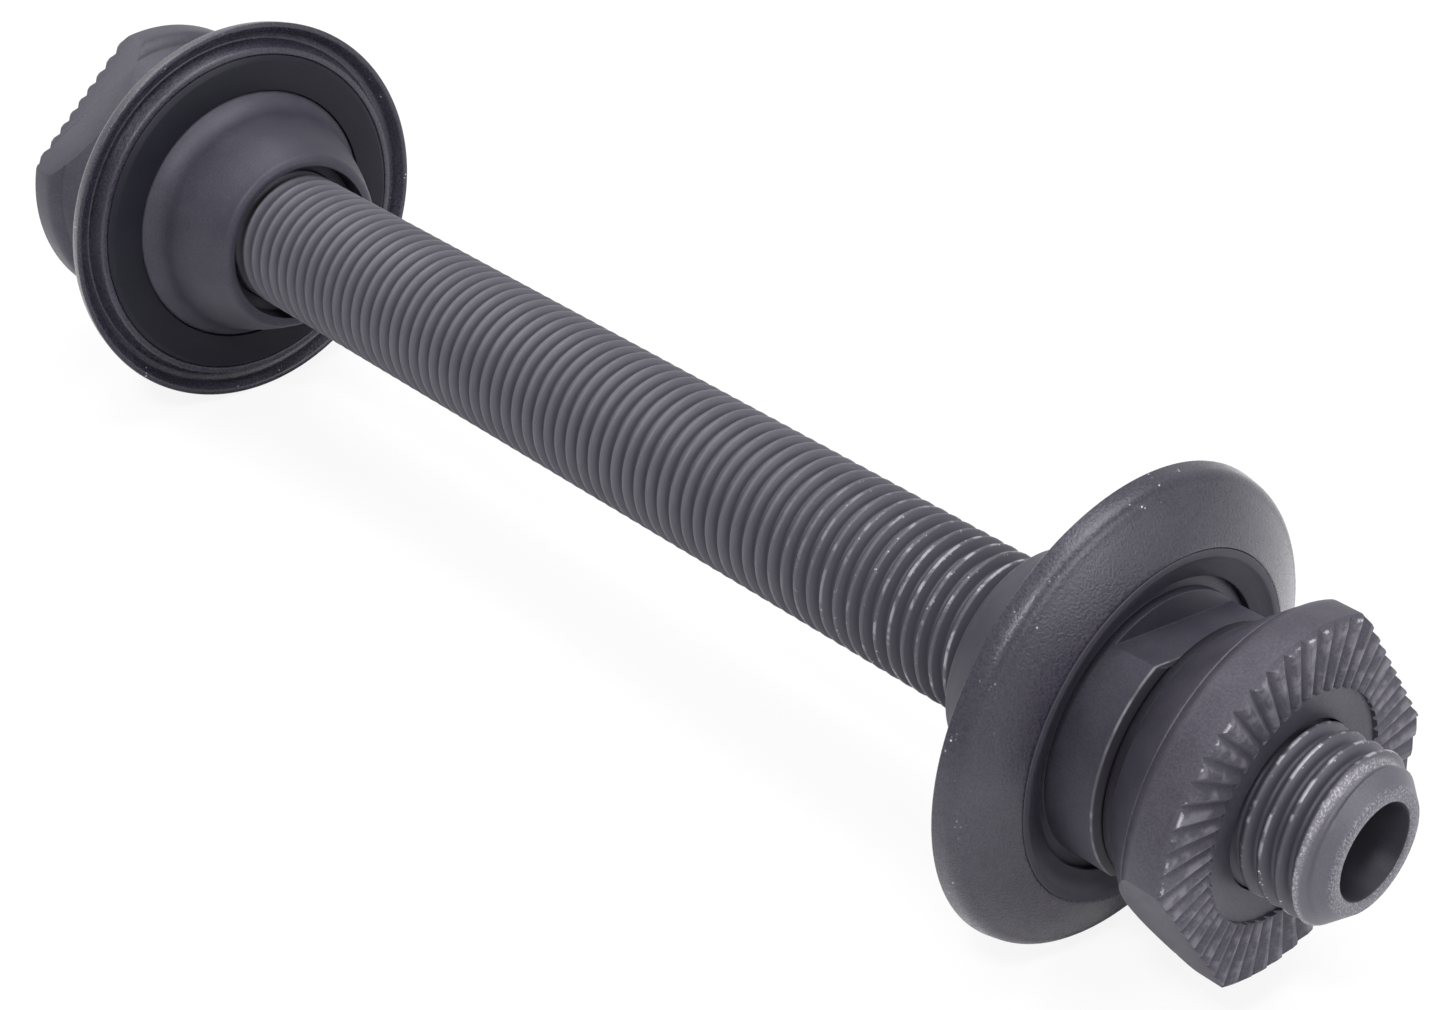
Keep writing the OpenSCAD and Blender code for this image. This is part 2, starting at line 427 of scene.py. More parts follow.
class Paint:
    """A new material with its shader, its coordinates and its patterns."""

    def __init__(self, name: str) -> None:
        """Makes the material.

        Args:
            name: Name of the material.
        """
        self.material = bpy.data.materials.new(name)
        self.material.use_nodes = True
        self.tree = self.material.node_tree
        self.shader = self.tree.nodes["Principled BSDF"]
        self.place = self.tree.nodes.new("ShaderNodeTexCoord").outputs["Object"]
        split = self.node("ShaderNodeSeparateXYZ", {}, {"Vector": self.place})
        self.x = Wire(self.tree, split.outputs["X"]) * (1.0 / MM)
        y = Wire(self.tree, split.outputs["Y"]) * (1.0 / MM)
        z = Wire(self.tree, split.outputs["Z"]) * (1.0 / MM)
        self.z = z
        self.radius = (y * y + z * z) ** 0.5

    def node(self, kind: str, settings: dict, inputs: dict) -> bpy.types.Node:
        """Adds any node.

        Args:
            kind: The node's type.
            settings: Its own settings, set first.
            inputs: Values or links of its sockets.

        Returns:
            The node.
        """
        node = self.tree.nodes.new(kind)
        for key, value in settings.items():
            setattr(node, key, value)
        for key, value in inputs.items():
            socket = node.inputs[key]
            if isinstance(value, Wire):
                self.tree.links.new(value.socket, socket)
            elif isinstance(value, bpy.types.NodeSocket):
                self.tree.links.new(value, socket)
            else:
                socket.default_value = value
        return node

    def noise(self, grain: float, detail: float = 2.0, rough: float = 0.5) -> Wire:
        """A noise from 0 to 1.

        Args:
            grain: Size of its blobs in millimetres.
            detail: Octaves of finer noise.
            rough: Strength of the finer octaves.

        Returns:
            The noise.
        """
        inputs = {"Vector": self.place, "Scale": 1.0 / (grain * MM), "Detail": detail, "Roughness": rough}
        return Wire(self.tree, self.node("ShaderNodeTexNoise", {}, inputs).outputs["Fac"])

    def specks(self, grain: float, size: float) -> Wire:
        """Small round specks.

        Args:
            grain: Mean distance between specks in millimetres.
            size: Radius of a speck as a share of that distance.

        Returns:
            1 in a speck and 0 between them.
        """
        inputs = {"Vector": self.place, "Scale": 1.0 / (grain * MM)}
        cells = self.node("ShaderNodeTexVoronoi", {"feature": "F1"}, inputs)
        return Wire(self.tree, cells.outputs["Distance"]).step(size, size * 0.4)

    def mix(self, amount: "Wire | float", first: "Rgb | bpy.types.NodeSocket", second: "Rgb | bpy.types.NodeSocket") -> bpy.types.NodeSocket:
        """Mixes two colours.

        Args:
            amount: 0 gives the first and 1 the second.
            first: A colour or a colour socket.
            second: A colour or a colour socket.

        Returns:
            The mixed colour.
        """
        node = self.node("ShaderNodeMix", {"data_type": "RGBA", "clamp_factor": True}, {})
        for index, value in ((0, amount), (6, first), (7, second)):
            socket = node.inputs[index]
            if isinstance(value, Wire):
                self.tree.links.new(value.socket, socket)
            elif isinstance(value, bpy.types.NodeSocket):
                self.tree.links.new(value, socket)
            else:
                socket.default_value = value if index == 0 else (*value, 1.0)
        return node.outputs[2]

    def bump(self, height: Wire, depth: float, strength: float = 1.0) -> None:
        """Raises the surface by a height map.

        Args:
            height: The height from 0 to 1.
            depth: Depth of the relief in millimetres.
            strength: Strength of the bump.
        """
        node = self.node("ShaderNodeBump", {}, {"Height": height, "Distance": depth * MM, "Strength": strength})
        self.tree.links.new(node.outputs["Normal"], self.shader.inputs["Normal"])

    def feed(self, socket: str, value: "Wire | bpy.types.NodeSocket | float") -> None:
        """Sets or links one socket of the shader.

        Args:
            socket: The socket's name.
            value: A value or a link.
        """
        if isinstance(value, Wire):
            self.tree.links.new(value.socket, self.shader.inputs[socket])
        elif isinstance(value, bpy.types.NodeSocket):
            self.tree.links.new(value, self.shader.inputs[socket])
        else:
            self.shader.inputs[socket].default_value = value


@dataclass(frozen=True)
class BlackedSteel:
    """Steel with a dull black finish that is worn grey where it is handled."""

    name: str
    dark: Rgb = (0.046, 0.043, 0.058)
    light: Rgb = (0.068, 0.064, 0.083)
    metallic: float = 0.25
    roughness: float = 0.5
    specular: float = 0.3
    grain: float = 0.12
    relief: float = 0.006

    def base(self) -> tuple[Paint, Wire]:
        """Makes the shader with its mottling and grain.

        Returns:
            The paint, and the fine grain from 0 to 1.
        """
        paint = Paint(self.name)
        fine = paint.noise(self.grain, 3.0, 0.6)
        paint.feed("Metallic", self.metallic)
        paint.feed("Specular IOR Level", self.specular)
        return paint, fine

    def material(self) -> bpy.types.Material:
        """Builds the finish.

        Returns:
            The material.
        """
        paint, fine = self.base()
        cloud = paint.noise(2.6, 3.0, 0.55)
        tone = (cloud * 0.4 + fine * 0.6).step(0.34, 0.68)
        paint.feed("Base Color", paint.mix(tone, self.dark, self.light))
        paint.feed("Roughness", self.roughness + (cloud - 0.5) * 0.1 + (fine - 0.5) * 0.14)
        paint.bump(fine, self.relief)
        return paint.material


@dataclass(frozen=True)
class ThreadSteel(BlackedSteel):
    """Blacked steel of the threaded axle: crests rubbed to grey, roots left black. Painted shade dims the
    crests towards the near tip and darkens the bore.
    """

    crest: Rgb = (0.135, 0.130, 0.150)
    bright: Rgb = (0.55, 0.54, 0.57)
    crest_radius: float = 4.44
    root_radius: float = 4.02
    tip_from: float = 51.6
    bore_radius: float = 2.62

    def material(self) -> bpy.types.Material:
        """Builds the finish.

        Returns:
            The material.
        """
        paint, fine = self.base()
        cloud = paint.noise(3.4, 3.0, 0.6)
        along = paint.x.size()
        rubbed = paint.radius.step(self.root_radius, self.crest_radius)
        tip = along.step(self.tip_from, self.tip_from + 1.4)
        # Painted shade: the rubbed grey of the crests fades towards the near tip, where the near cover shades
        # the thread.
        wear_and_painted_shade = rubbed * (0.2 + cloud * 0.45) * (1.0 - paint.x.step(8.0, 42.0) * 0.6)
        colour = paint.mix(wear_and_painted_shade, self.dark, self.crest)
        land = along.step(52.5, 52.9) * (0.1 + fine * 0.5)
        colour = paint.mix(land, colour, self.crest)
        glints = paint.specks(0.22, 0.34) * paint.noise(0.8, 2.0).step(0.52, 0.66)
        edge = paint.radius.step(4.38, 4.47)
        near_cones = paint.x.step(14.0, 31.0) * 0.9 + tip
        streaks = paint.radius.step(4.45, 4.495) * paint.noise(1.5, 3.0, 0.6).step(0.5, 0.6) * 0.45
        glint = (glints * edge).either(streaks) * near_cones.both(1.0)
        rim = along.step(52.6, 52.75) * along.step(52.98, 52.8) * (0.1 + fine.step(0.45, 0.68) * 0.4)
        end = along.step(53.8, 53.98) * fine.step(0.45, 0.7) * 0.3
        # Painted shade: the bore is painted near black, as the shade inside the hollow axle.
        inside = paint.radius.step(self.bore_radius + 0.02, self.bore_radius - 0.02)
        shine = glint.either(rim).either(end) * (1.0 - inside)
        colour = paint.mix(shine, colour, self.bright)
        colour = paint.mix(inside, colour, (0.012, 0.011, 0.018))
        paint.feed("Base Color", colour)
        paint.feed("Roughness", (self.roughness + (fine - 0.5) * 0.2 - shine * 0.18).either(0.2))
        paint.bump(fine * (1.0 + tip * 1.5), self.relief)
        return paint.material


@dataclass(frozen=True)
class NutSteel(BlackedSteel):
    """Blacked steel of a lock nut, bright where the tooth corners have bitten."""

    face_at: float = 49.45
    rim_radius: float = 9.9
    bright: Rgb = (0.82, 0.81, 0.85)

    def material(self) -> bpy.types.Material:
        """Builds the finish.

        Returns:
            The material.
        """
        paint, fine = self.base()
        cloud = paint.noise(2.2, 3.0, 0.55)
        along = paint.x.size()
        tone = (cloud * 0.4 + fine * 0.6).step(0.34, 0.68)
        colour = paint.mix(tone, self.dark, self.light)
        crest = along.step(self.face_at - 0.22, self.face_at - 0.02)
        toothed = paint.radius.step(6.2, 6.5)
        rubbed = crest * toothed * paint.noise(0.7, 2.0).step(0.42, 0.66)
        colour = paint.mix(rubbed * 0.4, colour, (0.2, 0.19, 0.22))
        corner = crest * paint.radius.step(self.rim_radius - 0.36, self.rim_radius - 0.2)
        bitten = corner * paint.noise(0.5, 3.0, 0.6).step(0.52, 0.62)
        colour = paint.mix(bitten, colour, self.bright)
        paint.feed("Base Color", colour)
        paint.feed("Roughness", (self.roughness + (cloud - 0.5) * 0.2 - bitten * 0.2).either(0.2))
        paint.bump(fine + paint.noise(0.35, 2.0) * 1.2 * toothed, self.relief)
        return paint.material


@dataclass(frozen=True)
class ConeSteel(BlackedSteel):
    """Blacked steel of a bearing cone: painted shade on its end chamfer, with a worn edge."""

    dark: Rgb = (0.026, 0.024, 0.036)
    light: Rgb = (0.042, 0.039, 0.053)
    worn: Rgb = (0.150, 0.144, 0.160)
    painted_chamfer_shade: Rgb = (0.010, 0.009, 0.014)
    collar_at: float = 43.11

    def material(self) -> bpy.types.Material:
        """Builds the finish.

        Returns:
            The material.
        """
        paint, fine = self.base()
        cloud = paint.noise(2.6, 3.0, 0.55)
        along = paint.x.size()
        tone = (cloud * 0.4 + fine * 0.6).step(0.34, 0.68)
        colour = paint.mix(tone, self.dark, self.light)
        # Painted shade: the end chamfer past collar_at is painted near black.
        colour = paint.mix(along.step(self.collar_at + 0.02, self.collar_at + 0.1), colour, self.painted_chamfer_shade)
        line = along.step(self.collar_at - 0.1, self.collar_at - 0.04) * along.step(self.collar_at + 0.07, self.collar_at + 0.02)
        colour = paint.mix(line * (0.3 + paint.noise(1.2).step(0.45, 0.62) * 0.6), colour, self.worn)
        paint.feed("Base Color", colour)
        paint.feed("Roughness", self.roughness + (cloud - 0.5) * 0.1 + (fine - 0.5) * 0.14)
        paint.bump(fine, self.relief)
        return paint.material


@dataclass(frozen=True)
class GrainedCover:
    """The satin black cover of a dust seal, with a grain and painted sparkle highlights on its brim."""

    name: str
    dark: Rgb = (0.019, 0.017, 0.028)
    light: Rgb = (0.034, 0.031, 0.045)
    roughness: float = 0.29
    brim_from: float = 11.6

    def material(self) -> bpy.types.Material:
        """Builds the finish.

        Returns:
            The material.
        """
        paint = Paint(self.name)
        fine = paint.noise(0.14, 3.0, 0.65)
        cloud = paint.noise(3.0, 3.0, 0.5)
        tone = (cloud * 0.35 + fine * 0.65).step(0.34, 0.68)
        colour = paint.mix(tone, self.dark, self.light)
        # Painted highlight: bright sparkle specks are painted into the colour of the brim, past brim_from.
        painted_sparkle_brim = paint.radius.step(self.brim_from, self.brim_from + 1.0)
        specks = paint.specks(0.3, 0.24) * paint.noise(1.2, 2.0).step(0.58, 0.7)
        colour = paint.mix(specks * painted_sparkle_brim, colour, (0.6, 0.59, 0.63))
        paint.feed("Base Color", colour)
        paint.feed("Metallic", 0.15)
        paint.feed("Specular IOR Level", 0.42)
        paint.feed("Roughness", self.roughness + (fine - 0.5) * 0.34)
        paint.bump(fine, 0.026)
        return paint.material


@dataclass(frozen=True)
class LipRubber:
    """The dull dark lip of a dust seal, with painted shade on its inboard back face."""

    name: str
    dark: Rgb = (0.018, 0.017, 0.026)
    light: Rgb = (0.030, 0.028, 0.040)
    face: Rgb = (0.046, 0.043, 0.056)
    painted_back_shade: Rgb = (0.006, 0.006, 0.010)
    face_at: float = 40.5
    back_at: float = 38.2
    roughness: float = 0.5

    def material(self) -> bpy.types.Material:
        """Builds the finish.

        Returns:
            The material.
        """
        paint = Paint(self.name)
        fine = paint.noise(0.16, 3.0, 0.6)
        cloud = paint.noise(2.4, 3.0, 0.5)
        tone = (cloud * 0.4 + fine * 0.6).step(0.34, 0.68)
        outer = paint.x.size().step(self.face_at, self.face_at + 0.3) * paint.radius.step(8.3, 8.9)
        # Painted shade: the back face, inboard of back_at, is painted towards near black.
        inner = paint.x.size().step(self.back_at, self.back_at - 0.3)
        colour = paint.mix(outer, paint.mix(tone, self.dark, self.light), self.face)
        paint.feed("Base Color", paint.mix(inner * 0.8, colour, self.painted_back_shade))
        paint.feed("Metallic", 0.0)
        paint.feed("Specular IOR Level", 0.12)
        paint.feed("Roughness", self.roughness + (fine - 0.5) * 0.2)
        paint.bump(fine, 0.006)
        return paint.material


# --------------------------------------------------------------------------------------
# The pieces


@dataclass
class ThreadedAxle:
    """The hollow axle with its screw thread from tip to tip. Lengths in millimetres."""

    half_length: float = 54.0
    crest_r: float = 4.5
    root_r: float = 3.95
    pitch: float = 1.0
    bore_r: float = 2.55
    tip_r: float = 3.3
    chamfer: float = 1.25
    steps: int = 56

    def ridge(self, start: float) -> list[Point]:
        """The section of one turn of thread.

        Args:
            start: Where the turn starts along the axle.

        Returns:
            Points from root to root.
        """
        shape = [(0.00, 0.0), (0.10, 0.02), (0.17, 0.14), (0.35, 0.86), (0.40, 0.95), (0.46, 1.0),
                 (0.54, 1.0), (0.60, 0.95), (0.65, 0.86), (0.83, 0.14), (0.90, 0.02), (1.00, 0.0)]
        rise = self.crest_r - self.root_r
        return [(start + s * self.pitch, self.root_r + h * rise) for s, h in shape]

    def build(self, finish: bpy.types.Material) -> bpy.types.Object:
        """Winds the thread, trims it to length, chamfers the tips and opens the bore.

        Args:
            finish: The axle's material.

        Returns:
            The finished axle.
        """
        turns = int(2 * self.half_length / self.pitch) + 4
        axle = Bench.draw("threaded_axle", self.ridge(-self.half_length - 3.0), closed=False)
        screw = axle.modifiers.new("thread", "SCREW")
        screw.axis = "X"
        screw.angle = FULL_TURN
        screw.screw_offset = self.pitch * MM
        screw.iterations = turns
        screw.steps = self.steps
        screw.render_steps = self.steps
        screw.use_merge_vertices = True
        screw.merge_threshold = MM * 1e-3
        Bench.choose(axle)
        bpy.ops.object.modifier_apply(modifier=screw.name)
        self._trim(axle)
        self._chamfer(axle)
        self._bore(axle)
        axle.data.materials.append(finish)
        Bench.smooth(axle, 50.0)
        return axle

    def _trim(self, axle: bpy.types.Object) -> None:
        """Cuts the thread square at both tips.

        Args:
            axle: The thread's surface.
        """
        Bench.choose(axle)
        bpy.ops.object.mode_set(mode="EDIT")
        bpy.ops.mesh.select_all(action="SELECT")
        bpy.ops.mesh.remove_doubles(threshold=MM * 1e-3)
        for side in (1.0, -1.0):
            bpy.ops.mesh.select_all(action="SELECT")
            bpy.ops.mesh.bisect(
                plane_co=(side * self.half_length * MM, 0.0, 0.0),
                plane_no=(side, 0.0, 0.0),
                clear_outer=True,
                clear_inner=False,
                use_fill=False,
                threshold=MM * 1e-4,
            )
        bpy.ops.object.mode_set(mode="OBJECT")

    def _chamfer(self, axle: bpy.types.Object) -> None:
        """Takes the crests down to the tips' chamfers.

        Args:
            axle: The trimmed thread.
        """
        count = len(axle.data.vertices)
        flat = np.zeros(count * 3)
        axle.data.vertices.foreach_get("co", flat)
        spots = flat.reshape(-1, 3)
        radius = np.hypot(spots[:, 1], spots[:, 2])
        past = np.clip(np.abs(spots[:, 0]) / MM - (self.half_length - self.chamfer), 0.0, None)
        limit = (self.crest_r - past * (self.crest_r - self.tip_r) / self.chamfer) * MM
        share = np.minimum(1.0, limit / radius)
        spots[:, 1] *= share
        spots[:, 2] *= share
        axle.data.vertices.foreach_set("co", spots.ravel())
        axle.data.update()

    def _bore(self, axle: bpy.types.Object) -> None:
        """Closes each tip with a flat ring and runs the bore between them.

        Args:
            axle: The chamfered thread.
        """
        Bench.choose(axle)
        bpy.ops.object.mode_set(mode="EDIT")
        bpy.ops.mesh.select_mode(type="EDGE")
        for side in (1.0, -1.0):
            for share in (self.bore_r + 0.12, self.bore_r):
                self._pick_end(axle, side)
                now = self._ring_radius(axle)
                bpy.ops.mesh.extrude_edges_move()
                scale = share * MM / now
                bpy.ops.transform.resize(value=(1.0, scale, scale), center_override=(0.0, 0.0, 0.0))
                if share == self.bore_r:
                    bpy.ops.transform.translate(value=(-side * 0.12 * MM, 0.0, 0.0))
        bpy.ops.mesh.select_all(action="DESELECT")
        bpy.ops.mesh.select_non_manifold(extend=False, use_wire=False, use_boundary=True,
                                         use_multi_face=False, use_non_contiguous=False, use_verts=False)
        bpy.ops.mesh.bridge_edge_loops()
        bpy.ops.mesh.select_all(action="SELECT")
        bpy.ops.mesh.normals_make_consistent(inside=False)
        bpy.ops.object.mode_set(mode="OBJECT")

    @staticmethod
    def _pick_end(axle: bpy.types.Object, side: float) -> None:
        """Selects the open edge loop of one tip.

        Args:
            axle: The axle, in edit mode.
            side: 1 for the near tip and -1 for the far one.
        """
        bpy.ops.mesh.select_all(action="DESELECT")
        bpy.ops.mesh.select_non_manifold(extend=False, use_wire=False, use_boundary=True,
                                         use_multi_face=False, use_non_contiguous=False, use_verts=False)
        bpy.ops.object.mode_set(mode="OBJECT")
        spots = axle.data.vertices
        for edge in axle.data.edges:
            if edge.select and spots[edge.vertices[0]].co.x * side < 0.0:
                edge.select = False
        for spot in spots:
            if spot.co.x * side < 0.0:
                spot.select = False
        bpy.ops.object.mode_set(mode="EDIT")

    @staticmethod
    def _ring_radius(axle: bpy.types.Object) -> float:
        """Mean radius of the selected loop, in metres.

        Args:
            axle: The axle, in edit mode.

        Returns:
            The radius.
        """
        bpy.ops.object.mode_set(mode="OBJECT")
        radii = [math.hypot(v.co.y, v.co.z) for v in axle.data.vertices if v.select]
        bpy.ops.object.mode_set(mode="EDIT")
        return sum(radii) / len(radii)


@dataclass
class LockNut:
    """A round lock nut with a ring of pressed teeth and two flats. Lengths in millimetres."""

    flats_turn: float
    face_at: float = 49.45
    back_at: float = 44.05
    rim_r: float = 9.9
    back_r: float = 7.1
    flange: float = 2.1
    across: float = 16.5
    clear_r: float = 4.55
    teeth: int = 50
    tooth_length: float = 3.7
    recess: float = 0.29
    depth_in: float = 0.26
    depth_out: float = 0.32
    slant: float = 6.0
    land: float = 0.08
    rim_drop: float = 0.35
    rim_width: float = 0.4

    @property
    def teeth_r(self) -> float:
        """Inner radius of the ring of teeth."""
        return self.rim_r - self.tooth_length

    def outline(self) -> list[Point]:
        """The turned section of the nut.

        Returns:
            A closed outline.
        """
        waist = (self.face_at - self.flange - 0.35, self.rim_r - 0.3)
        seam_x = waist[0] - 0.3
        slope = (waist[1] - self.back_r) / (waist[0] - self.back_at)
        seam_r = waist[1] - 0.3 * slope
        return [
            (self.back_at, self.clear_r),
            (self.back_at, self.back_r),
            (seam_x - 0.08, seam_r - 0.06),
            (seam_x, seam_r - 0.1),
            (seam_x + 0.06, seam_r + 0.04),
            *bow(waist, (self.face_at - self.flange + 0.4, self.rim_r), 1.0, -1, 5),
            (self.face_at - self.rim_drop, self.rim_r),
            (self.face_at, self.rim_r - self.rim_width),
            (self.face_at, self.teeth_r + 0.01),
            (self.face_at - self.recess, self.teeth_r + 0.01),
            (self.face_at - self.recess, self.clear_r),
        ]

    def groove(self) -> bpy.types.Object:
        """One slanted V groove of the face, as a cutter.

        Returns:
            The cutter at the first tooth's place.
        """
        pitch = FULL_TURN * self.teeth_r / self.teeth
        half = (pitch * math.cos(math.radians(self.slant)) - self.land) / 2
        grow = half / self.depth_in
        top = self.depth_in + 0.26
        reach = self.tooth_length + 1.5
        Bench.clear()
        bpy.ops.mesh.primitive_cylinder_add(vertices=3, radius=MM, depth=MM, location=(0.0, 0.0, 0.0))
        cutter = bpy.context.object
        corners = [(0.0, 0.0), (top, -top * grow), (top, top * grow)]
        angles = sorted({round(math.atan2(v.co.y, v.co.x), 3) for v in cutter.data.vertices})
        for spot in cutter.data.vertices:
            corner = corners[angles.index(round(math.atan2(spot.co.y, spot.co.x), 3))]
            end = reach if spot.co.z > 0.0 else 0.0
            spot.co = Vector((corner[0] * MM, end * MM, corner[1] * MM))
        tilt = math.atan((self.depth_out - self.depth_in) / self.tooth_length)
        start = Matrix.Translation(Vector((self.face_at - self.depth_in, self.teeth_r, 0.0)) * MM)
        lean = Matrix.Rotation(math.radians(self.slant), 4, "X")
        Bench.place(cutter, start @ lean @ Matrix.Rotation(tilt, 4, "Z"))
        Bench.choose(cutter)
        bpy.ops.object.mode_set(mode="EDIT")
        bpy.ops.mesh.select_all(action="SELECT")
        bpy.ops.mesh.normals_make_consistent(inside=False)
        bpy.ops.object.mode_set(mode="OBJECT")
        return cutter

    def build(self, end: End, finish: bpy.types.Material) -> bpy.types.Object:
        """Turns the nut, mills its flats and presses its teeth.

        Args:
            end: The end that the nut is for.
            finish: Its material.

        Returns:
            The finished nut.
        """
        nut = Bench.turn_up(f"{end.word}_toothed_nut", self.outline(), 150)
        turn = self.flats_turn if end is End.NEAR else -self.flats_turn
        for side in (-1.0, 1.0):
            centre = Vector(((self.face_at + self.back_at) / 2, side * (self.across / 2 + 5.0), 0.0))
            Bench.cut(nut, Bench.block(turn, centre, Vector((12.0, 10.0, 30.0))))
        first = self.groove()
        for parity in (0, 1):
            cutters = []
            for index in range(parity, self.teeth, 2):
                cutter = Bench.copy(first, f"groove_{index}")
                Bench.place(cutter, Matrix.Rotation(index * FULL_TURN / self.teeth, 4, "X"))
                cutters.append(cutter)
            Bench.cut(nut, Bench.join(cutters))
        bpy.data.objects.remove(first)
        Bench.soften(nut, 0.05, 2)
        Bench.place(nut, Matrix.Rotation(end.value, 4, "Z"))
        nut.data.materials.append(finish)
        Bench.smooth(nut, 32.0)
        return nut


@dataclass
class BearingCone:
    """A bearing cone with its nose, ball race, flange and flats. Lengths in millimetres."""

    outer_at: float = 43.46
    nose_at: float = 32.06
    flange_at: float = 40.11
    race_at: float = 37.91
    crest_at: float = 36.11
    body_r: float = 7.35
    crest_r: float = 7.52
    flange_r: float = 8.6
    race_r: float = 2.5
    front_r: float = 5.8
    nose_side_r: float = 16.0
    counterbore_r: float = 5.25
    counterbore: float = 1.6
    clear_r: float = 4.55
    across: float = 11.6
    flats_length: float = 2.8
    flats_turn: float = 81.0
    round_r: float = 0.45
    chamfer: float = 0.35

    def outline(self) -> list[Point]:
        """The turned section of the cone.

        Returns:
            A closed outline.
        """
        front = (self.nose_at, self.front_r - self.round_r)
        brow = (self.nose_at + self.round_r, self.front_r + 0.25)
        crest = (self.crest_at, self.crest_r)
        edge = (self.race_at, self.flange_r)
        return [
            (self.nose_at + self.counterbore, self.clear_r),
            (self.nose_at + self.counterbore, self.counterbore_r),
            (self.nose_at, self.counterbore_r),
            *bow(front, brow, self.round_r * 1.3, -1, 6),
            *bow(brow, crest, self.nose_side_r, -1, 8)[1:],
            *bow(crest, edge, self.race_r, 1, 10)[1:],
            (self.flange_at, self.flange_r),
            (self.flange_at, self.body_r),
            (self.outer_at - self.chamfer, self.body_r),
            (self.outer_at, self.body_r - self.chamfer),
            (self.outer_at, self.clear_r),
        ]

    def build(self, end: End, finish: bpy.types.Material) -> bpy.types.Object:
        """Turns the cone and mills its flats.

        Args:
            end: The end that the cone is for.
            finish: Its material.

        Returns:
            The finished cone.
        """
        cone = Bench.turn_up(f"{end.word}_bearing_cone", self.outline(), 160)
        start = self.outer_at - self.flats_length
        for side in (-1.0, 1.0):
            centre = Vector((start + 2.0, side * (self.across / 2 + 4.0), 0.0))
            Bench.cut(cone, Bench.block(self.flats_turn, centre, Vector((4.0, 8.0, 24.0))))
        Bench.soften(cone, 0.09, 3)
        Bench.place(cone, Matrix.Rotation(end.value, 4, "Z"))
        cone.data.materials.append(finish)
        Bench.smooth(cone)
        return cone


@dataclass
class Washer:
    """A plain washer between the cone and the lock nut. Lengths in millimetres."""

    inner_at: float = 43.48
    outer_at: float = 44.03
    clear_r: float = 4.55
    outer_r: float = 7.0

    def build(self, end: End, finish: bpy.types.Material) -> bpy.types.Object:
        """Turns the washer.

        Args:
            end: The end that the washer is for.
            finish: Its material.

        Returns:
            The finished washer.
        """
        outline = [(self.inner_at, self.clear_r), (self.inner_at, self.outer_r),
                   (self.outer_at, self.outer_r), (self.outer_at, self.clear_r)]
        washer = Bench.turn_up(f"{end.word}_plain_washer", outline, 128)
        Bench.soften(washer, 0.12, 3)
        Bench.place(washer, Matrix.Rotation(end.value, 4, "Z"))
        washer.data.materials.append(finish)
        Bench.smooth(washer)
        return washer


@dataclass
class DustSeal:
    """The dished cover of a dust seal and the lip ring under it. Lengths in millimetres."""

    step_at: float = 40.91
    rim_at: float = 38.21
    seat_at: float = 39.56
    ring_at: float = 37.76
    lip_at: float = 40.16
    lip_out_at: float = 40.51
    seal_r: float = 13.15
    hem_r: float = 11.8
    ring_r: float = 11.0
    step_r: float = 9.6
    lip_r: float = 8.0
    flange_r: float = 8.65
    wall: float = 0.6
    shoulder_r: float = 0.9
    crown_r: float = 22.0

    def cover_outline(self) -> list[Point]:
        """The section of the cover.

        Returns:
            A closed outline.
        """
        side = (self.rim_at + 0.7, self.seal_r - 0.15)
        brow = (self.rim_at + 0.7 + self.shoulder_r * 0.75, self.seal_r - 0.75)
        top = (self.step_at, self.step_r + 0.01)
        return [
            (self.rim_at, self.seal_r - 0.35),
            (self.rim_at, self.seal_r),
            *bow(side, brow, self.shoulder_r, -1, 8),
            *bow(brow, top, self.crown_r, -1, 12)[1:],
            (self.seat_at, self.step_r + 0.01),
            (self.seat_at, self.ring_r + 0.01),
            (self.rim_at - 0.2, self.ring_r + 0.01),
            (self.rim_at - 0.2, self.hem_r - 0.35),
            (self.rim_at + 0.85, self.hem_r + 0.05),
            (self.rim_at + 0.7, self.seal_r - self.wall - 0.25),
        ]

    def ring_outline(self) -> list[Point]:
        """The section of the lip ring.

        Returns:
            A closed outline.
        """
        inner = (self.step_at, self.step_r - 0.4)
        funnel = (self.lip_out_at + 0.1, self.lip_r + 0.6)
        return [
            (self.ring_at, self.flange_r),
            (self.ring_at, self.ring_r - 0.3),
            (self.ring_at + 0.3, self.ring_r),
            (self.seat_at - 0.01, self.ring_r),
            (self.seat_at - 0.01, self.step_r),
            (self.step_at, self.step_r),
            *bow(inner, funnel, 1.6, 1, 6),
            (self.lip_out_at, self.lip_r),
            (self.lip_at, self.lip_r),
            (self.lip_at, self.flange_r),
        ]

    def build(self, end: End, cover_finish: bpy.types.Material, ring_finish: bpy.types.Material) -> tuple[bpy.types.Object, bpy.types.Object]:
        """Forms the cover and the ring.

        Args:
            end: The end that the seal is for.
            cover_finish: The cover's material.
            ring_finish: The ring's material.

        Returns:
            The cover and the ring.
        """
        cover = Bench.turn_up(f"{end.word}_dished_cover", self.cover_outline(), 192)
        ring = Bench.turn_up(f"{end.word}_lip_ring", self.ring_outline(), 160)
        for piece, finish, width in ((cover, cover_finish, 0.12), (ring, ring_finish, 0.06)):
            Bench.soften(piece, width, 3)
            Bench.place(piece, Matrix.Rotation(end.value, 4, "Z"))
            piece.data.materials.append(finish)
            Bench.smooth(piece)
        return cover, ring


# --------------------------------------------------------------------------------------
# The studio


